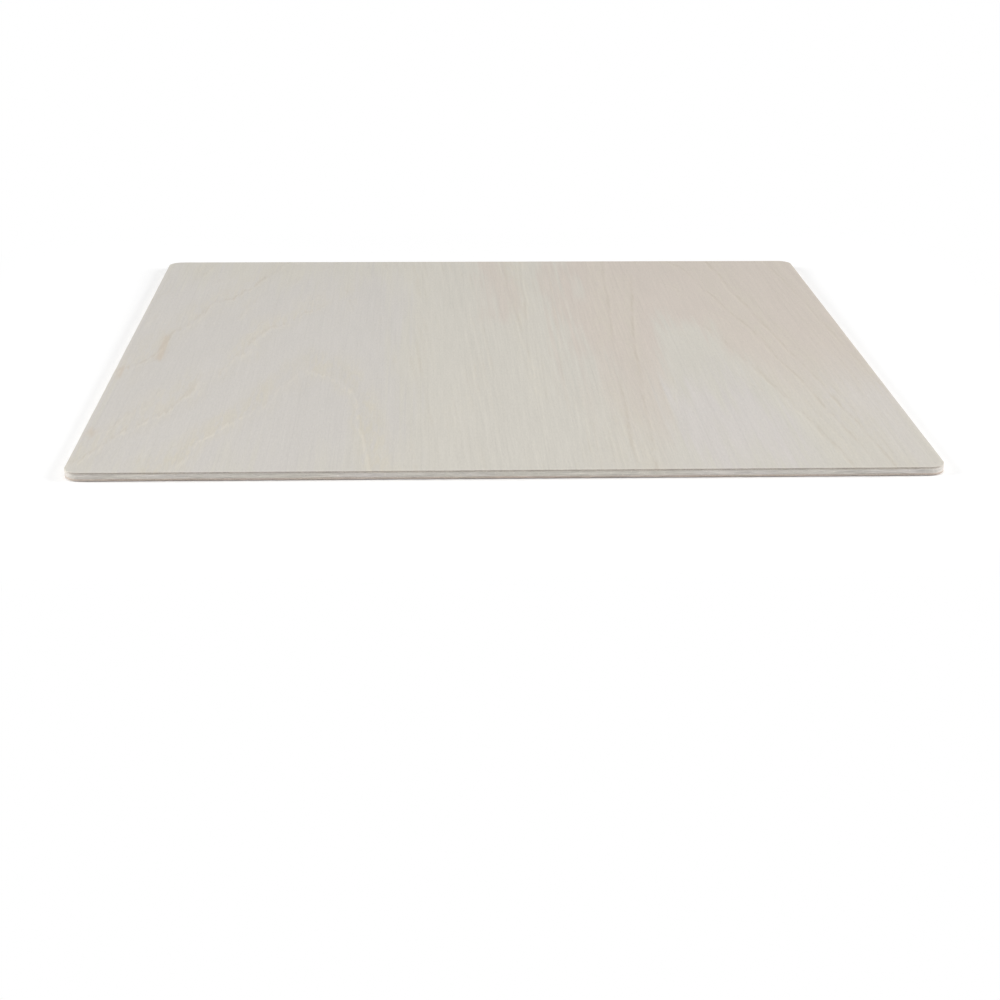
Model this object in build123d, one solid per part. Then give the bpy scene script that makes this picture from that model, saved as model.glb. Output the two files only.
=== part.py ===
from build123d import *
import os

# A thin square sheet of plywood with rounded corners.
# Three wood veneers are glued flat on each other with their grain crossed: the back and the face run
# front to back, along Y, and the core between them runs side to side, along X. The glued panel is
# trimmed as one, so every ply has the same outline, and sanding eases the rims of the two outer faces.
# Frame: millimetres, +Z up, origin at the centre of the underside, with the front edge towards -Y.

# Outline of the trimmed panel
sheet_width = 300.0  # side to side, across the face grain
sheet_length = 300.0  # front to back, along the face grain
corner_radius = 6.0

# Thickness of each ply, in the order they are laid up
back_thickness = 0.75
core_thickness = 1.5
face_thickness = 0.75

# Rounding that sanding leaves on the rims of the two outer faces
rim_ease = 0.15


def trimmed_ply(thickness, underside):
    """One veneer with the panel's outline, its underside at that height."""
    with BuildPart() as ply:
        with BuildSketch(Plane.XY.offset(underside)):
            RectangleRounded(sheet_width, sheet_length, corner_radius)
        extrude(amount=thickness)
    return ply.part


def sanded(ply, outer_face):
    """The veneer with the rim of its outer face rounded over."""
    return ply.fillet(rim_ease, outer_face.edges())


def back_ply():
    """The bottom veneer, sanded on its underside, which the sheet lies on."""
    ply = trimmed_ply(back_thickness, 0)
    return sanded(ply, ply.faces().sort_by(Axis.Z)[0])


def core_ply():
    """The crossband between the two outer veneers, glued on both sides."""
    return trimmed_ply(core_thickness, back_thickness)


def face_ply():
    """The top veneer, sanded on its upper side, which is the sheet's show face."""
    ply = trimmed_ply(face_thickness, back_thickness + core_thickness)
    return sanded(ply, ply.faces().sort_by(Axis.Z)[-1])


plies = {
    "back_veneer": back_ply(),
    "core_veneer": core_ply(),
    "face_veneer": face_ply(),
}

os.makedirs("parts", exist_ok=True)
for name, ply in plies.items():
    ply.label = name
    export_step(ply, f"parts/{name}.step")
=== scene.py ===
import math
from typing import NamedTuple

import bpy
import numpy as np
from mathutils import Matrix, Vector
from mathutils.geometry import delaunay_2d_cdt


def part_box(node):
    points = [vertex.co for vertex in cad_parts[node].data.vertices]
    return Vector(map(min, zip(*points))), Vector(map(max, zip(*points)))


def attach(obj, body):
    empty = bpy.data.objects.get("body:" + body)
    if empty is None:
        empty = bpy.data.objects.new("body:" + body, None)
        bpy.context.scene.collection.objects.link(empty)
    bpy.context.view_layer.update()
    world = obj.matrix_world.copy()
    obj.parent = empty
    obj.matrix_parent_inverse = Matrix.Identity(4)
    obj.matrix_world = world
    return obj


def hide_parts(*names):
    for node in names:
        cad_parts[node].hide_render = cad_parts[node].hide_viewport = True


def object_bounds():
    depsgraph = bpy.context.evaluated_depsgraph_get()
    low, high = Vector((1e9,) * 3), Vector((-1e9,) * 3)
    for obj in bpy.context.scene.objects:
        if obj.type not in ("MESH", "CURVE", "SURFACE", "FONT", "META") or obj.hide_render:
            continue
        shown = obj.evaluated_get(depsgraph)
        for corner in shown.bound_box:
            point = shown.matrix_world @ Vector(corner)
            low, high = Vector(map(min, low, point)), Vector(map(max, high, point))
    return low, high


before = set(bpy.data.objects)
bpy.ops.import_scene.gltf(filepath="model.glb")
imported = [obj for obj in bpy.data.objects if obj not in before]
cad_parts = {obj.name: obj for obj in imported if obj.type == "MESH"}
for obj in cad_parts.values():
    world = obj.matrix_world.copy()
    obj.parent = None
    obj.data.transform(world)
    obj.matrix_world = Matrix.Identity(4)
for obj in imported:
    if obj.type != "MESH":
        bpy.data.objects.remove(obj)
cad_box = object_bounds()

# The looks of a thin square sheet of plywood: three veneers with sawn edges, ply lines, torn fibres and
# grain. Lengths here are in millimetres, as on the drawing, and meshes and lamps are turned to metres as
# they are made.
MM = 0.001
TO_MM = 1 / MM
QUARTER_TURN = math.pi / 2
FULL_TURN = 2 * math.pi

# Sheet, taken from the frame
sheet_low, sheet_high = (np.array(corner) * TO_MM for corner in cad_box)
half_size = (sheet_high - sheet_low)[:2] / 2
top_height = sheet_high[2]
corner_radius = 6.0
corner_sides = ((-1, -1), (1, -1), (1, 1), (-1, 1))  # anticlockwise from the front left
rim_ease = 0.15  # radius of the sanded rims of the face and of the back
node_grains = {"back_veneer": "Y", "core_veneer": "X", "face_veneer": "Y"}
grain_axes = {"X": np.array((1.0, 0.0, 0.0)), "Y": np.array((0.0, 1.0, 0.0))}

# Mesh fineness
edge_step = 0.3  # along the outline
arc_steps = 48  # points along each corner of the drawn outline
least_radius = 0.01  # of the corners of a loop that lies further in than their radius
rim_rows = 4  # rows over a sanded rim
wall_rows = 4  # rows up a ply's sawn edge
inner_insets = (0.6, 1.4, 3.0, 6.0)  # loops inside the rim, each with half the points of the one before
grid_inset = 9.0  # from the outline to the grid of points inside these loops
face_grid = 3.0  # between two points of that grid
hidden_grid = 15.0  # the same on a side that is glued to another ply
inside_only = 1  # the way of filling that keeps the triangles inside a loop
merge_distance = 1e-6
smooth_angle = math.radians(40)

# Sawn edge: how far it leaves the drawn outline, always inwards
saw_wander = 0.05
saw_wavelength = 14.0
fibre_relief = 0.06  # of the cut fibres, ply by ply
pore_wavelength = 0.8  # where the fibres end at the edge
strand_wavelength = 6.0  # where they run along it
glue_groove = 0.07  # depth of the seam between two plies
glue_height = 0.07
tear_count = 420  # small bites that the saw tore out of the lower rim
tear_lengths = (0.5, 3.2)
tear_depths = (0.05, 0.3)
nick_count = 90  # smaller ones along the upper rim
nick_lengths = (0.4, 1.6)
nick_depths = (0.02, 0.07)
saw_seed = 3
ply_seed = 11
fibre_seed = 21

# Torn fibres that stand out of the sawn edge: fine fuzz and a few coarser splinters
fuzz_count = 2200
fuzz_radius = (0.012, 0.03)
splinter_count = 240
splinter_radius = (0.03, 0.06)
end_grain_length = (0.1, 0.35)
long_grain_length = (0.4, 1.5)
fibre_sides = 3
fibre_stations = (0.0, 0.4, 0.75)  # shares of its length
fibre_root = 0.05  # how deep it starts inside the edge
fibre_margin_share = 0.33  # of a ply's rows, at its top and bottom, that grow none
fibre_lean = (0.05, 0.25)  # outwards
fibre_scatter = 0.12  # to any side
fibre_droop_shares = (-0.1, 0.15)  # of its length
fibre_clearance = 0.12  # from the planes of the sheet's two faces

# Scale of the colours on a screen: straight near black, and a curve above
screen_white = 255
dark_end, dark_slope = 0.04045, 12.92
curve_offset, curve_power = 0.055, 2.4


def srgb(red, green, blue):
    """A colour as it looks on a screen, from 0 to 255, as the linear colour that the shaders take."""
    shares = np.array((red, green, blue)) / screen_white
    curve = ((shares + curve_offset) / (1 + curve_offset)) ** curve_power
    linear = np.where(shares <= dark_end, shares / dark_slope, curve)
    return (*(float(value) for value in linear), 1.0)


class Ply(NamedTuple):
    """One veneer: the heights of its two faces, and the axis that its grain follows."""

    low: float
    high: float
    grain: str


plies = {}
for node, grain in node_grains.items():
    low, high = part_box(node)
    plies[node] = Ply(low.z * TO_MM, high.z * TO_MM, grain)


# Outline of the sheet


def outline(count, inset):
    """Evenly spaced points round the sheet, that far inside its edge, in the order of the corners."""
    radius = max(corner_radius - inset, least_radius)
    reach = half_size - inset - radius
    quarter = np.linspace(0, QUARTER_TURN, arc_steps)
    arcs = []
    for turn, side in enumerate(corner_sides):
        angle = quarter + math.pi + turn * QUARTER_TURN
        arcs.append(reach * side + radius * np.column_stack((np.cos(angle), np.sin(angle))))
    path = np.vstack(arcs + [arcs[0][:1]])
    travelled = np.concatenate(([0], np.cumsum(np.linalg.norm(np.diff(path, axis=0), axis=1))))
    stops = np.linspace(0, travelled[-1], count, endpoint=False)
    return np.column_stack([np.interp(stops, travelled, path[:, axis]) for axis in (0, 1)])


def outward(points):
    """The direction square to the outline at each of its points."""
    reach = half_size - corner_radius
    away = points - np.clip(points, -reach, reach)
    return away / np.linalg.norm(away, axis=1, keepdims=True)


straight_sides = len(corner_sides) * (half_size - corner_radius).sum()
perimeter = straight_sides + FULL_TURN * corner_radius
loop_multiple = 2 ** len(inner_insets)  # so that each inner loop has whole points
rim_count = int(perimeter / edge_step / loop_multiple) * loop_multiple
rim_points = outline(rim_count, 0)
rim_outward = outward(rim_points)


# Roughness of the sawn edge


def wander(wavelength, random):
    """Smooth random values from -1 to 1 round the outline, with about one swing for each wavelength."""
    knots = random.uniform(-1, 1, int(perimeter / wavelength))
    place = np.arange(rim_count) * len(knots) / rim_count
    before = place.astype(int)
    share = place - before
    ease = share * share * (3 - 2 * share)
    return knots[before] * (1 - ease) + knots[(before + 1) % len(knots)] * ease


def bites(count, lengths, depths, random):
    """Depth round the outline of that many small rounded bites."""
    centres = random.integers(0, rim_count, count)
    spans = random.uniform(*lengths, count)
    middles = random.uniform(*depths, count)
    half_way = rim_count // 2
    depth = np.zeros(rim_count)
    for centre, span, middle in zip(centres, spans, middles):
        offset = (np.arange(rim_count) - centre + half_way) % rim_count - half_way
        depth = np.maximum(depth, middle * (1 - (2 * offset * edge_step / span) ** 2))
    return depth


common_wander = saw_wander * (1 + wander(saw_wavelength, np.random.default_rng(saw_seed))) / 2


# Meshes of the plies


def fill(boundary, spacing):
    """Points and triangles inside a closed loop of points: finer loops near it and a grid in the middle."""
    inner = [outline(rim_count // 2 ** (step + 1), inset) for step, inset in enumerate(inner_insets)]
    spans = [np.arange(-half + grid_inset, half - grid_inset + spacing / 2, spacing) for half in half_size]
    inner.append(np.array(np.meshgrid(*spans)).reshape(2, -1).T)
    points = np.vstack([boundary, *inner])
    count = len(boundary)
    edges = [(index, (index + 1) % count) for index in range(count)]
    found, _, triangles, *_ = delaunay_2d_cdt(points.tolist(), edges, [], inside_only, merge_distance)
    return np.array([tuple(point) for point in found]), np.array(triangles)


def ply_rows(ply, ease_low, ease_high):
    """The inset and height of each row up a ply's edge, with a glue groove or sanded rim at each end."""
    rim = [QUARTER_TURN * step / rim_rows for step in range(rim_rows + 1)]
    lower = [(rim_ease * (1 - math.sin(turn)), ply.low + rim_ease * (1 - math.cos(turn))) for turn in rim]
    upper = [(rim_ease * (1 - math.cos(turn)), ply.high - rim_ease * (1 - math.sin(turn))) for turn in rim]
    start = lower if ease_low else [(glue_groove, ply.low), (0, ply.low + glue_height)]
    end = upper if ease_high else [(0, ply.high - glue_height), (glue_groove, ply.high)]
    gap = end[0][1] - start[-1][1]
    wall = [(0, start[-1][1] + gap * step / wall_rows) for step in range(1, wall_rows)]
    return start + wall + end


def ply_mesh(name, ply, ease_low, ease_high, seed):
    """A closed veneer with a sawn edge, torn at a lower rim and nicked at an upper one, and its rows."""
    random = np.random.default_rng(seed)
    tears = bites(tear_count, tear_lengths, tear_depths, random) if ease_low else np.zeros(rim_count)
    nicks = bites(nick_count, nick_lengths, nick_depths, random) if ease_high else np.zeros(rim_count)
    endwise = abs(rim_outward @ grain_axes[ply.grain][:2])
    rows = []
    for inset, height in ply_rows(ply, ease_low, ease_high):
        rise = (height - ply.low) / (ply.high - ply.low)
        pores, strands = (wander(length, random) for length in (pore_wavelength, strand_wavelength))
        relief = common_wander + fibre_relief * (1 + pores * endwise + strands * (1 - endwise)) / 2
        relief = relief + tears * (1 - rise) ** 2 + nicks * rise**2
        flat = rim_points - rim_outward * (inset + relief)[:, None]
        rows.append(np.column_stack((flat, np.full(rim_count, height))))
    ring = np.arange(rim_count)
    following = (ring + 1) % rim_count
    faces = []
    for row in range(len(rows) - 1):
        here, above = row * rim_count, (row + 1) * rim_count
        faces.append(np.column_stack((here + ring, here + following, above + following, above + ring)))
    vertices = [np.vstack(rows)]
    caps = []
    for row, height, spacing, upwards in (
        (0, ply.low, face_grid if ease_low else hidden_grid, False),
        (len(rows) - 1, ply.high, face_grid if ease_high else hidden_grid, True),
    ):
        points, triangles = fill(rows[row][:, :2], spacing)
        made = sum(map(len, vertices))
        numbers = np.concatenate((row * rim_count + ring, made + np.arange(len(points) - rim_count)))
        inner = points[rim_count:]
        vertices.append(np.column_stack((inner, np.full(len(inner), height))))
        triangles = numbers[triangles]
        caps.append(triangles if upwards else triangles[:, ::-1])
    polygons = [polygon for part in faces + caps for polygon in part.tolist()]
    mesh = bpy.data.meshes.new(name)
    mesh.from_pydata(np.vstack(vertices) * MM, [], polygons)
    return mesh, rows


def fibre(root, direction, length, radius, droop):
    """Points and faces of one closed tapered fibre."""
    across = np.cross(direction, (0.0, 0.0, 1.0))
    across /= np.linalg.norm(across)
    upright = np.cross(direction, across)
    turn = np.arange(fibre_sides) * FULL_TURN / fibre_sides
    ring = np.outer(np.cos(turn), across) + np.outer(np.sin(turn), upright)
    points = []
    for share in (*fibre_stations, 1.0):
        centre = root + direction * length * share
        centre[2] = np.clip(centre[2] - droop * share**2, fibre_clearance, top_height - fibre_clearance)
        points.extend(centre + ring * radius * (1 - share**2) if share < 1 else [centre])
    faces = [tuple(reversed(range(fibre_sides)))]
    for station in range(len(fibre_stations)):
        for corner in range(fibre_sides):
            here = station * fibre_sides + corner
            beside = station * fibre_sides + (corner + 1) % fibre_sides
            if station < len(fibre_stations) - 1:
                faces.append((here, beside, beside + fibre_sides, here + fibre_sides))
            else:
                faces.append((here, beside, len(points) - 1))
    return points, faces


def fibres_mesh(name, edges, seed):
    """Torn fibres along the sawn edges: short fuzz on end grain, longer strands lifted along long grain."""
    random = np.random.default_rng(seed)
    points = []
    faces = []
    for count, radii in ((fuzz_count, fuzz_radius), (splinter_count, splinter_radius)):
        for _ in range(count):
            rows, grain = edges[random.integers(len(edges))]
            spot = random.integers(rim_count)
            margin = round(len(rows) * fibre_margin_share)
            out = np.append(rim_outward[spot], 0)
            root = rows[random.integers(margin, len(rows) - margin)][spot] - out * fibre_root
            endwise = abs(out @ grain)
            side = np.sign(out @ grain + random.uniform(-1, 1) * (1 - endwise))
            lean = random.uniform(*fibre_lean) * out
            direction = side * grain + lean + random.normal(0, fibre_scatter, len(grain))
            direction /= np.linalg.norm(direction)
            short, long = (random.uniform(*span) for span in (end_grain_length, long_grain_length))
            length = short * endwise + long * (1 - endwise)
            droop = random.uniform(*fibre_droop_shares) * length
            new_points, new_faces = fibre(root, direction, length, random.uniform(*radii), droop)
            faces.extend(tuple(corner + len(points) for corner in face) for face in new_faces)
            points.extend(new_points)
    mesh = bpy.data.meshes.new(name)
    mesh.from_pydata(np.array(points) * MM, [], faces)
    return mesh


def add_piece(mesh, material, node=None):
    """A piece of the sheet that rides on its one body. One that stands for a veneer hides that node."""
    mesh.materials.append(material)
    mesh.shade_smooth()
    mesh.set_sharp_from_angle(angle=smooth_angle)
    mesh.validate()
    piece = bpy.data.objects.new(mesh.name, mesh)
    bpy.context.scene.collection.objects.link(piece)
    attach(piece, "root")
    if node:
        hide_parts(node)


# Wood

mix_share, mix_first, mix_second, mix_result = 0, 6, 7, 2  # sockets of a node that mixes colours


class Shader:
    """One material's nodes. Each call adds a node and returns the socket with its result."""

    def __init__(self, name):
        self.material = bpy.data.materials.new(name)
        self.material.use_nodes = True
        self.tree = self.material.node_tree
        self.surface = self.tree.nodes["Principled BSDF"]

    def add(self, kind, inputs, output=0, **settings):
        """A node of that kind, with what it is fed and how it is set."""
        node = self.tree.nodes.new(kind)
        for key, value in settings.items():
            setattr(node, key, value)
        for key, value in inputs.items():
            self.feed(node.inputs[key], value)
        return node.outputs[output]

    def feed(self, socket, value):
        """Links a socket to another node's result, or gives it a plain value."""
        if isinstance(value, bpy.types.NodeSocket):
            self.tree.links.new(value, socket)
        else:
            socket.default_value = value

    def math(self, operation, *values):
        """A sum with one, two or three numbers."""
        return self.add("ShaderNodeMath", dict(enumerate(values)), operation=operation)

    def vector(self, operation, *values, output=0):
        """A sum with one or two vectors."""
        return self.add("ShaderNodeVectorMath", dict(enumerate(values)), output, operation=operation)

    def join(self, operation, values):
        """All the values put together, two at a time."""
        result = values[0]
        for value in values[1:]:
            result = self.math(operation, result, value)
        return result

    def total(self, *values):
        """All the values added."""
        return self.join("ADD", values)

    def product(self, *values):
        """All the values multiplied."""
        return self.join("MULTIPLY", values)

    def most(self, *values):
        """The largest of the values."""
        return self.join("MAXIMUM", values)

    def ramp(self, value, start, end, low=0.0, high=1.0):
        """Eases from low to high as the value goes from start to end."""
        limits = {"Value": value, "From Min": start, "From Max": end, "To Min": low, "To Max": high}
        return self.add("ShaderNodeMapRange", limits, interpolation_type="SMOOTHSTEP")

    def bell(self, value, centre, reach):
        """1 where the value is at the centre, easing to 0 at that reach on either side."""
        away = self.math("ABSOLUTE", self.math("SUBTRACT", value, centre))
        return self.ramp(away, 0.0, reach, 1.0, 0.0)

    def within(self, value, low, high, fade):
        """1 between the two values, easing to 0 across each of them."""
        return self.product(
            self.ramp(value, low - fade, low + fade), self.ramp(value, high - fade, high + fade, 1.0, 0.0)
        )

    def mix(self, share, first, second):
        """The first colour, with that share of it turned to the second."""
        inputs = {mix_share: share, mix_first: first, mix_second: second}
        return self.add("ShaderNodeMix", inputs, mix_result, data_type="RGBA")


class Mark(NamedTuple):
    """One kind of mark in the wood: its size across, along and through the grain, and how much it does."""

    across: float
    along: float
    depth: float
    strength: float

    def cell(self, grain):
        """Its size along X, Y and Z."""
        flat = (self.along, self.across) if grain == "X" else (self.across, self.along)
        return (*flat, self.depth)


class Limb(NamedTuple):
    """One side of a nest of growth rings: how wide its tips spread, and how much its limbs splay out."""

    spread: float
    splay: float


class Arch(NamedTuple):
    """A nest of arched growth rings: its middle across the grain, and its two sides."""

    middle: float
    left: Limb
    right: Limb


class Ring(NamedTuple):
    """A growth ring that shows more than most: where its arch ends along the grain, how pale its inside
    and how dark its line is, and the stretch across the grain where it shows."""

    tip: float
    pale: float
    dark: float
    left: float
    right: float


class Zone(NamedTuple):
    """A tinted part of a veneer: its tint, its ends across and along the grain, its fade and strength."""

    tint: str
    left: float
    right: float
    front: float
    back: float
    fade: float
    share: float


wood_colours = {
    "cool": srgb(204, 200, 195),
    "neutral": srgb(206, 202, 193),
    "lavender": srgb(207, 202, 198),
    "straw": srgb(207, 201, 187),
    "pink": srgb(205, 196, 187),
    "rose": srgb(206, 193, 182),
    "tan": srgb(199, 180, 156),
    "late": srgb(186, 175, 160),
    "end_grain": srgb(146, 131, 122),
    "glue": srgb(150, 138, 120),
}

# Marks of the grain
blotch = Mark(28.0, 80.0, 28.0, 0.008)
streak = Mark(5.0, 190.0, 5.0, 0.010)
thread = Mark(0.9, 34.0, 0.5, 0.028)
fleck = Mark(0.7, 2.2, 0.5, 0.025)
dash = Mark(0.3, 4.0, 0.2, 0.036)
hairline = Mark(0.7, 260.0, 0.7, 0.036)
pore = Mark(0.13, 2.6, 0.13, 0.06)
line_range = (0.2, 1.1)  # of the last two only the noise above this shows, as thin dark lines
straight_middle, straight_reach = 30.0, 80.0  # straight grain between the arches, where threads show most
straight_gain = 0.6
back_drift = Mark(26.0, 120.0, 26.0, 1.0)
core_drift = Mark(12.0, 30.0, 12.0, 1.0)
mark_detail = 2.0
noise_gain = 4.0  # noise keeps near the middle of its range, and this stretches it
noise_range = (-1.0, 1.0)  # to about this
pattern_steps = (371.0, 523.0, 97.0)  # between the places of two veneers in the same pattern
pattern_places = {"face_wood": 1, "core_wood": 2, "back_wood": 3, "fibre_wood": 4}  # in such steps

# Growth rings
ring_gap = 50.0  # along the grain at the tip of an arch
ring_uneven = 11.0  # how far a ring's edge leaves an even gap, over the length that follows
ring_uneven_length = 80.0
ring_detail = 1.0
ring_bends = (Mark(24.0, 70.0, 24.0, 17.0), Mark(6.0, 26.0, 6.0, 6.0), Mark(0.9, 22.0, 0.9, 3.0))
ring_show = Mark(14.0, 90.0, 14.0, 1.0)  # where the rings show and where they fade
faint_show = (-0.4, 0.9)
bold_show = (-1.1, 0.1)
ring_break = Mark(1.6, 11.0, 1.6, 1.0)  # breaks a ring into strokes
break_range = (-0.5, 0.4)
break_share = 0.25  # of a stroke's strength, left between two strokes
tip_stretch = 3.5  # how much longer the lines fade along the grain at the tip of an arch
arch_blend = 40.0  # how softly the rings of two nests meet
late_place, late_reach, late_share = 0.6, 1.2, 0.34  # the dark line, out from a ring's edge
early_place, early_reach, early_light = -0.5, 1.2, 0.075  # the pale line inside it
straw_place, straw_reach, straw_share = 2.5, 9.0, 0.75  # the tint outside it
faint_share = 0.5  # of the strength of a bold ring
ring_fade = 8.0  # of the ends of a ring that shows over a part only
band_length = 55.0  # broad bands that follow the rings
band_light = 0.012

# Figure of the face and of the back
face_arches = (Arch(-70.0, Limb(2.5, 0.32), Limb(4.8, 0.0)), Arch(81.0, Limb(3.0, 0.0), Limb(6.5, 0.0)))
face_rings = (
    Ring(-30.0, 1.0, 0.25, -200.0, -30.0),
    Ring(72.0, 0.7, 0.6, -200.0, -72.0),
    Ring(195.0, 0.5, 0.8, -200.0, -80.0),
    Ring(45.0, 0.4, 0.8, 92.0, 200.0),
    Ring(155.0, 0.5, 1.0, 20.0, 200.0),
    Ring(245.0, 0.5, 1.0, 92.0, 200.0),
    Ring(310.0, 0.5, 0.7, 0.0, 70.0),
    Ring(640.0, 0.4, 0.6, 92.0, 200.0),
    Ring(1440.0, 0.6, 0.5, 0.0, 40.0),
)
face_zones = (
    Zone("cool", -160.0, -40.0, -160.0, 120.0, 12.0, 0.9),
    Zone("pink", 0.0, 13.0, 45.0, 170.0, 5.0, 0.8),
    Zone("lavender", 64.0, 106.0, -136.0, -56.0, 9.0, 0.85),
    Zone("lavender", 126.0, 160.0, -110.0, -50.0, 8.0, 0.6),
    Zone("pink", 44.0, 60.0, -110.0, 0.0, 6.0, 0.6),
    Zone("tan", -136.6, -133.8, -16.0, 20.0, 1.0, 0.42),
    Zone("tan", -149.0, -146.0, -44.0, -26.0, 1.2, 0.35),
    Zone("tan", -149.0, -145.0, -112.0, -104.0, 1.2, 0.35),
)
heart_left, heart_fade = 34.0, 9.0  # the pinkish wood starts there
heart_ring = (5.0, 75.0)  # outside this ring, whose arch ends there along the grain
heart_ends = (-120.0, 20.0)  # and is palest at the first of these
heart_shares = (0.1, 1.0)
back_arches = (Arch(38.0, Limb(3.0, 0.25), Limb(9.0, 0.0)), Arch(-96.0, Limb(5.0, 0.0), Limb(8.0, 0.0)))
back_rings = (
    Ring(12.0, 0.8, 0.7, -40.0, 200.0),
    Ring(-64.0, 0.7, 0.6, -200.0, -40.0),
    Ring(150.0, 0.5, 0.6, -40.0, 200.0),
    Ring(190.0, 0.5, 0.6, -200.0, -40.0),
)
# The sides of a tinted zone are ragged, by this much for each unit of its fade, and so are its ends
feathers = (Mark(14.0, 90.0, 14.0, 1.2), Mark(1.6, 170.0, 1.6, 0.9))
fringes = (Mark(2.0, 60.0, 2.0, 3.0), Mark(8.0, 90.0, 8.0, 3.5))
fade_stretch = 4.0  # how much longer a zone fades along the grain than across it

# Sawn edges
sawn_range = (0.3, 0.9)  # of how far a surface faces up or down
saw_grain = Mark(0.3, 5.0, 0.25, 0.18)  # streaks where fibres run along the edge, pores where they end
saw_patch = Mark(5.0, 9.0, 0.9, 0.13)
saw_speck = Mark(0.7, 0.7, 0.45, 0.4)  # pale specks where fibres that run along the edge are torn
end_speck = 0.1  # their strength where fibres end
speck_range = (0.4, 1.2)  # only the noise above this shows as specks
end_grain_range = (0.45, 1.0)  # of how far a surface faces along the grain
end_grain_reach = (0.05, 0.4)  # from a glue seam
face_end_share, back_end_share, core_end_share = 0.56, 0.33, 0.1  # of the end grain's colour, on each one
glue_reach = 0.1  # from a seam
glue_share = 0.2
rim_highlight_and_wear = 0.035  # both faces are painted a little paler near their rims: a painted highlight, partly also the wear of sanding
rim_highlight_reach = (0.3, 2.0)  # inwards from the outline

# Surface
gloss_level = 0.1  # bare wood hardly shines
roughness_range = (0.7, 0.82)
relief_depth = 0.02
relief_strength = 0.5
saw_relief = 2.5  # of the grain on a sawn edge, against that of the threads
fibre_paleness_and_lift = 0.12  # torn fibres are paler than the wood round them, and are painted lighter still against the shade that falls on such thin strands


class Wood(Shader):
    """Bare sanded wood. Its pattern runs through the solid, so that edges show end grain or long grain."""

    def __init__(self, name, grain):
        super().__init__(name)
        self.grain = grain
        self.made = {}
        coordinates = self.tree.nodes.new("ShaderNodeTexCoord")
        self.real = self.vector("MULTIPLY", coordinates.outputs["Object"], (TO_MM, TO_MM, TO_MM))
        self.place = self.vector("ADD", self.real, [pattern_places[name] * step for step in pattern_steps])
        x, y, self.height = self.split(self.real)
        self.across, self.along = (y, x) if grain == "X" else (x, y)
        self.facing = [self.math("ABSOLUTE", part) for part in self.split(coordinates.outputs["Normal"])]
        self.endwise = self.facing["XY".index(grain)]
        self.sawn = self.ramp(self.facing[2], *sawn_range, 1.0, 0.0)

    def split(self, vector):
        """The three parts of a vector."""
        node = self.tree.nodes.new("ShaderNodeSeparateXYZ")
        self.feed(node.inputs[0], vector)
        return list(node.outputs)

    def stretched(self, noise):
        """Noise about the middle of 0 to 1, stretched to about -1 to 1."""
        return self.math("MULTIPLY_ADD", noise, noise_gain, -noise_gain / 2)

    def marks(self, mark):
        """Noise from about -1 to 1 with blobs of the mark's size."""
        if mark not in self.made:
            scaled = self.vector("MULTIPLY", self.place, [1 / size for size in mark.cell(self.grain)])
            settings = {"Vector": scaled, "Scale": 1.0, "Detail": mark_detail}
            self.made[mark] = self.stretched(self.add("ShaderNodeTexNoise", settings))
        return self.made[mark]

    def shaded(self, mark):
        """A mark's noise at its strength."""
        return self.math("MULTIPLY", self.marks(mark), mark.strength)

    def along_rings(self, field, length):
        """Noise from about -1 to 1 that changes only from ring to ring."""
        settings = {"W": self.math("DIVIDE", field, length), "Scale": 1.0, "Detail": ring_detail}
        return self.stretched(self.add("ShaderNodeTexNoise", settings, noise_dimensions="1D"))

    def arch_rise(self, arch):
        """How far each ring of a nest falls back from its tip, and how steeply."""
        away = self.math("SUBTRACT", self.across, arch.middle)
        rises = []
        slopes = []
        for limit, limb in (("MINIMUM", arch.left), ("MAXIMUM", arch.right)):
            reach = self.math("ABSOLUTE", self.math(limit, away, 0.0))
            share = self.math("DIVIDE", reach, self.math("MULTIPLY_ADD", reach, limb.splay, limb.spread))
            rises.append(self.product(reach, share))
            slopes.append(self.product(share, self.math("SUBTRACT", 2.0, self.product(share, limb.splay))))
        return self.total(*rises), self.total(*slopes)

    def ring_field(self, arches):
        """A field that is even along each growth ring and climbs from ring to ring, and how steep it is."""
        (rise, slope), *others = [self.arch_rise(arch) for arch in arches]
        for other_rise, other_slope in others:
            nearer = self.math("LESS_THAN", other_rise, rise)
            slope = self.math("MULTIPLY_ADD", self.math("SUBTRACT", other_slope, slope), nearer, slope)
            rise = self.math("SMOOTH_MIN", rise, other_rise, arch_blend)
        steep = self.math("SQRT", self.math("MULTIPLY_ADD", slope, slope, tip_stretch**2))
        return self.total(self.along, rise, *(self.shaded(bend) for bend in ring_bends)), steep

    def ring_lines(self, field, steep, rings):
        """How much the dark lines, pale insides and tinted outsides of all the rings show."""
        late, early, straw = [], [], []

        def line(distance, pale, dark):
            """Adds what one set of rings shows, at that distance from a ring's edge."""
            late.append(self.product(self.bell(distance, late_place, late_reach), dark))
            early.append(self.product(self.bell(distance, early_place, early_reach), pale))
            straw.append(self.product(self.bell(distance, straw_place, straw_reach), pale))

        strokes = self.ramp(self.marks(ring_break), *break_range, break_share, 1.0)
        uneven = self.along_rings(field, ring_uneven_length)
        count = self.math("DIVIDE", self.math("MULTIPLY_ADD", uneven, ring_uneven, field), ring_gap)
        nearest = self.math("ROUND", count)
        chance = self.add("ShaderNodeTexWhiteNoise", {"W": nearest}, noise_dimensions="1D")
        gap = self.math("DIVIDE", ring_gap, steep)
        weak = self.ramp(self.marks(ring_show), *faint_show, 0.0, faint_share)
        faint = self.product(weak, chance, strokes)
        line(self.product(self.math("SUBTRACT", count, nearest), gap), faint, faint)
        bold = self.product(self.ramp(self.marks(ring_show), *bold_show), strokes)
        for ring in rings:
            shown = self.product(self.within(self.across, ring.left, ring.right, ring_fade), bold)
            distance = self.math("DIVIDE", self.math("SUBTRACT", field, ring.tip), steep)
            line(distance, self.product(shown, ring.pale), self.product(shown, ring.dark))
        return [self.most(*lines) for lines in (late, early, straw)]

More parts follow.
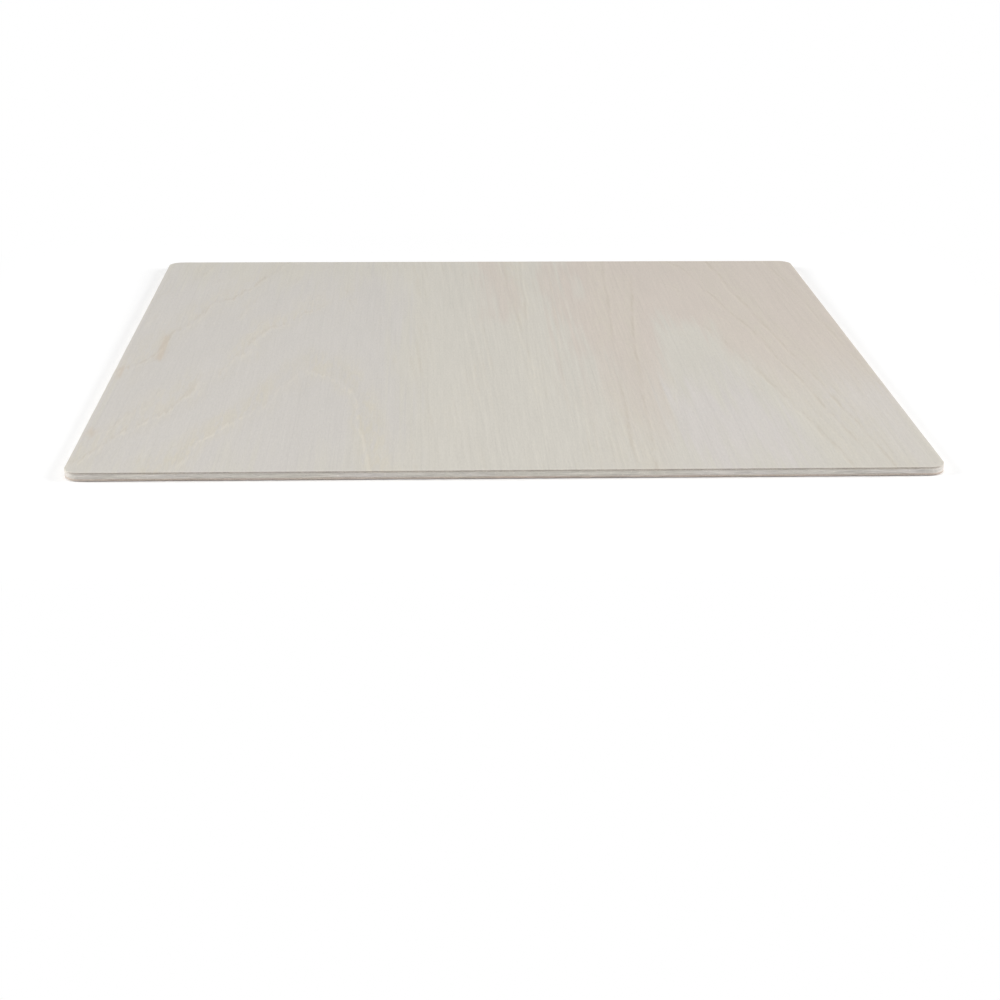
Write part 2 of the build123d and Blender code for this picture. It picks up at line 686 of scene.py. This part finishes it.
    def ringed(self, colour, field, steep, rings):
        """The colour with its growth rings, and how much lighter the rings and the grain make it."""
        late, early, straw = self.ring_lines(field, steep, rings)
        colour = self.mix(self.product(straw, straw_share), colour, wood_colours["straw"])
        colour = self.mix(self.product(late, late_share), colour, wood_colours["late"])
        bands = self.product(self.along_rings(field, band_length), band_light)
        return colour, self.total(self.grain_light(), bands, self.product(early, early_light))

    def ragged(self, place, marks, fade):
        """A place that wanders by about the fade, for tints that end in teeth along the grain."""
        return self.total(place, *(self.product(self.shaded(mark), fade) for mark in marks))

    def zoned(self, colour, zones):
        """The colour with tinted zones over it."""
        for zone in zones:
            across = self.ragged(self.across, feathers, zone.fade)
            along = self.ragged(self.along, fringes, zone.fade)
            sides = self.within(across, zone.left, zone.right, zone.fade)
            ends = self.within(along, zone.front, zone.back, zone.fade * fade_stretch)
            colour = self.mix(self.product(sides, ends, zone.share), colour, wood_colours[zone.tint])
        return colour

    def drifting(self, mark, first, second):
        """Broad patches that drift from one tint to another."""
        share = self.ramp(self.marks(mark), *noise_range)
        return self.mix(share, wood_colours[first], wood_colours[second])

    def grain_light(self):
        """Lighter and darker grain, as a change from plain."""
        lines = [self.ramp(self.marks(mark), *line_range, 0.0, -mark.strength) for mark in (hairline, pore)]
        straight = self.bell(self.across, straight_middle, straight_reach)
        threads = self.product(self.shaded(thread), self.math("MULTIPLY_ADD", straight, straight_gain, 1.0))
        return self.total(threads, *lines, *(self.shaded(mark) for mark in (blotch, streak, fleck, dash)))

    def inside_edge(self):
        """How far each point lies inside the sheet's outline."""
        reach = [*(half_size - corner_radius), 0.0]
        flat = self.vector("MULTIPLY", self.real, (1.0, 1.0, 0.0))
        beyond = self.vector("SUBTRACT", self.vector("ABSOLUTE", flat), reach)
        outer = self.vector("LENGTH", self.vector("MAXIMUM", beyond, (0.0, 0.0, 0.0)), output="Value")
        return self.math("SUBTRACT", corner_radius, outer)

    def edged(self, colour, light, seams, end_share):
        """The colour and light with what sawn edges show: streaks, pores, specks, glue and end grain, and
        the painted rim highlight.
        """
        torn = self.ramp(self.endwise, 0.0, 1.0, saw_speck.strength, end_speck)
        specks = self.product(self.ramp(self.marks(saw_speck), *speck_range), torn)
        cut = self.product(self.total(self.shaded(saw_grain), self.shaded(saw_patch), specks), self.sawn)
        # painted highlight near the rims of both faces, partly also the paler wear of sanding
        rim = self.product(self.ramp(self.inside_edge(), *rim_highlight_reach, rim_highlight_and_wear, 0.0), self.facing[2])
        off_seams = [self.math("ABSOLUTE", self.math("SUBTRACT", self.height, seam)) for seam in seams]
        off_seam = self.join("MINIMUM", off_seams)
        glue = self.product(self.ramp(off_seam, 0.0, glue_reach, glue_share, 0.0), self.sawn)
        clear = self.ramp(off_seam, *end_grain_reach)
        ends = self.product(self.ramp(self.endwise, *end_grain_range), clear, end_share)
        colour = self.mix(ends, colour, wood_colours["end_grain"])
        return self.mix(glue, colour, wood_colours["glue"]), self.total(light, cut, rim, 1.0)

    def finish(self, colour, level):
        """Feeds the colour at that level, the roughness and the relief to the surface."""
        lit = self.add("ShaderNodeVectorMath", {0: colour, "Scale": level}, operation="SCALE")
        self.feed(self.surface.inputs["Base Color"], lit)
        threads = self.marks(thread)
        self.feed(self.surface.inputs["Roughness"], self.ramp(threads, *noise_range, *roughness_range))
        self.surface.inputs["Specular IOR Level"].default_value = gloss_level
        cut = self.product(self.marks(saw_grain), self.sawn, saw_relief)
        height = self.total(threads, self.marks(dash), cut)
        bump = {"Strength": relief_strength, "Distance": relief_depth * MM, "Height": height}
        self.feed(self.surface.inputs["Normal"], self.add("ShaderNodeBump", bump))
        return self.material


def face_material():
    """The show face: cool at the left, pinkish at the back right, with two nests of arches."""
    wood = Wood("face_wood", node_grains["face_veneer"])
    field, steep = wood.ring_field(face_arches)
    across = wood.ragged(wood.across, feathers, heart_fade)
    heart = wood.product(
        wood.ramp(across, heart_left - heart_fade, heart_left + heart_fade),
        wood.ramp(wood.ragged(field, fringes, heart_fade), *heart_ring),
        wood.ramp(wood.along, *heart_ends, *heart_shares),
    )
    colour = wood.mix(heart, wood_colours["neutral"], wood_colours["pink"])
    colour = wood.zoned(colour, face_zones)
    colour, light = wood.ringed(colour, field, steep, face_rings)
    return wood.finish(*wood.edged(colour, light, [plies["core_veneer"].high], face_end_share))


def back_material():
    """The back: plainer, in one drifting tint with its own arches."""
    wood = Wood("back_wood", node_grains["back_veneer"])
    field, steep = wood.ring_field(back_arches)
    colour, light = wood.ringed(wood.drifting(back_drift, "pink", "rose"), field, steep, back_rings)
    return wood.finish(*wood.edged(colour, light, [plies["core_veneer"].low], back_end_share))


def core_material():
    """The core, which shows only on the edges."""
    wood = Wood("core_wood", node_grains["core_veneer"])
    colour = wood.drifting(core_drift, "lavender", "neutral")
    seams = [plies["core_veneer"].low, plies["core_veneer"].high]
    return wood.finish(*wood.edged(colour, wood.grain_light(), seams, core_end_share))


def fibre_material():
    """The torn fibres: pale, and painted lighter against their own shade, with no sawn face of their own.
    """
    wood = Wood("fibre_wood", node_grains["core_veneer"])
    colour = wood.drifting(core_drift, "neutral", "straw")
    # the fibres' own paleness, with painted light against the shade on such thin strands
    return wood.finish(colour, wood.total(wood.grain_light(), 1.0 + fibre_paleness_and_lift))


# Pieces: the three plies, and the fibres torn out of their edges

materials = {"back_veneer": back_material(), "core_veneer": core_material(), "face_veneer": face_material()}
edges = []
for seed, (node, ply) in enumerate(plies.items(), start=ply_seed):
    name = node.replace("veneer", "ply")
    mesh, rows = ply_mesh(name, ply, node == "back_veneer", node == "face_veneer", seed)
    add_piece(mesh, materials[node], node)
    edges.append((rows, grain_axes[ply.grain]))
add_piece(fibres_mesh("torn_fibres", edges, fibre_seed), fibre_material())


# Floor, light and camera

floor_reach = 6000.0
floor_drop = 0.25  # below the sheet, which never lies quite flat
floor_roughness = 1.0
floor_glow = 0.06  # makes up for what the lamps leave short of white
plain_white = (1.0, 1.0, 1.0, 1.0)
shadow_reach = (4.0, 90.0)  # from the sheet's edge: the floor's own shading fades out to plain white
sky_light = 0.36
overhead_power = 3.95  # in watts, as the lamps below
overhead_size = 1200.0
overhead_place = (0.0, -520.0, 950.0)
left_power = 19.0
right_power = 20.5
side_size = 900.0
side_place = (1500.0, -60.0, 450.0)  # and the same on the other side


def seen_rays(tree):
    """1 for rays from the camera, a gloss or a clear thing, which see the white background."""
    path = tree.nodes.new("ShaderNodeLightPath")
    seen = path.outputs["Is Camera Ray"]
    for kind in ("Is Glossy Ray", "Is Transmission Ray"):
        larger = tree.nodes.new("ShaderNodeMath")
        larger.operation = "MAXIMUM"
        tree.links.new(seen, larger.inputs[0])
        tree.links.new(path.outputs[kind], larger.inputs[1])
        seen = larger.outputs[0]
    return seen


def add_floor():
    """A white floor that keeps the sheet's shadow near it and is plain white further off."""
    corners = [(x * floor_reach, y * floor_reach, -floor_drop) for x, y in corner_sides]
    mesh = bpy.data.meshes.new("floor")
    mesh.from_pydata(np.array(corners) * MM, [], [tuple(range(len(corners)))])
    shader = Shader("white_floor")
    shader.surface.inputs["Base Color"].default_value = plain_white
    shader.surface.inputs["Roughness"].default_value = floor_roughness
    shader.surface.inputs["Specular IOR Level"].default_value = 0.0
    coordinates = shader.tree.nodes.new("ShaderNodeTexCoord")
    away = shader.vector("ABSOLUTE", coordinates.outputs["Object"])
    edge = shader.vector("SUBTRACT", away, (half_size[0] * MM, half_size[1] * MM, 0.0))
    beyond = shader.vector("MAXIMUM", edge, (0.0, 0.0, 0.0))
    distance = shader.vector("LENGTH", beyond, output="Value")
    seen = seen_rays(shader.tree)
    fade = shader.product(shader.ramp(distance, *(reach * MM for reach in shadow_reach)), seen)
    far = shader.add("ShaderNodeEmission", {"Color": plain_white, "Strength": 1.0})
    faint = shader.product(seen, floor_glow)
    glow = shader.add("ShaderNodeEmission", {"Color": plain_white, "Strength": faint})
    near = shader.add("ShaderNodeAddShader", {0: shader.surface.outputs[0], 1: glow})
    both = shader.add("ShaderNodeMixShader", {0: fade, 1: near, 2: far})
    shader.feed(shader.tree.nodes["Material Output"].inputs["Surface"], both)
    mesh.materials.append(shader.material)
    floor = bpy.data.objects.new("floor", mesh)
    bpy.context.scene.collection.objects.link(floor)


def add_sky():
    """Even soft light from all round, white where the camera sees it."""
    world = bpy.data.worlds.new("studio")
    world.use_nodes = True
    tree = world.node_tree
    lighting = tree.nodes["Background"]
    lighting.inputs["Strength"].default_value = sky_light
    lighting.inputs["Color"].default_value = plain_white
    backdrop = tree.nodes.new("ShaderNodeBackground")
    backdrop.inputs["Color"].default_value = plain_white
    both = tree.nodes.new("ShaderNodeMixShader")
    tree.links.new(seen_rays(tree), both.inputs[0])
    tree.links.new(lighting.outputs[0], both.inputs[1])
    tree.links.new(backdrop.outputs[0], both.inputs[2])
    tree.links.new(both.outputs[0], tree.nodes["World Output"].inputs["Surface"])
    bpy.context.scene.world = world


def add_softbox(name, place, size, power):
    """A square lamp that points at the sheet."""
    lamp = bpy.data.lights.new(name, "AREA")
    lamp.shape = "SQUARE"
    lamp.size = size * MM
    lamp.energy = power
    box = bpy.data.objects.new(name, lamp)
    box.location = Vector(place) * MM
    box.rotation_euler = (-Vector(place)).to_track_quat("-Z", "Y").to_euler()
    bpy.context.scene.collection.objects.link(box)


# Camera at the photograph's place, measured from the middle of the sheet's face
camera_offset = (-28.16, -754.84, 216.91)
camera_yaw = math.radians(2.395)
camera_pitch = math.radians(20.612)
camera_roll = math.radians(0.409)
camera_lens = 68.52
camera_sensor = 36.0
camera_clip = 10.0
matrix_size = 4  # of a turn that can be put together with a move


def add_camera():
    """The camera, turned by its yaw, pitch and roll."""
    data = bpy.data.cameras.new("camera")
    data.lens = camera_lens
    data.sensor_width = camera_sensor
    data.clip_start = camera_clip * MM
    camera = bpy.data.objects.new("camera", data)
    view = Matrix.Translation((np.array(camera_offset) + (0.0, 0.0, top_height)) * MM)
    for angle, axis in ((-camera_yaw, "Z"), (QUARTER_TURN - camera_pitch, "X"), (camera_roll, "Z")):
        view = view @ Matrix.Rotation(angle, matrix_size, axis)
    camera.matrix_world = view
    bpy.context.scene.collection.objects.link(camera)
    bpy.context.scene.camera = camera


add_floor()
add_sky()
add_softbox("overhead", overhead_place, overhead_size, overhead_power)
for name, side, power in (("left_side", -1, left_power), ("right_side", 1, right_power)):
    add_softbox(name, (side * side_place[0], *side_place[1:]), side_size, power)
add_camera()
bpy.context.scene.view_settings.view_transform = "Standard"
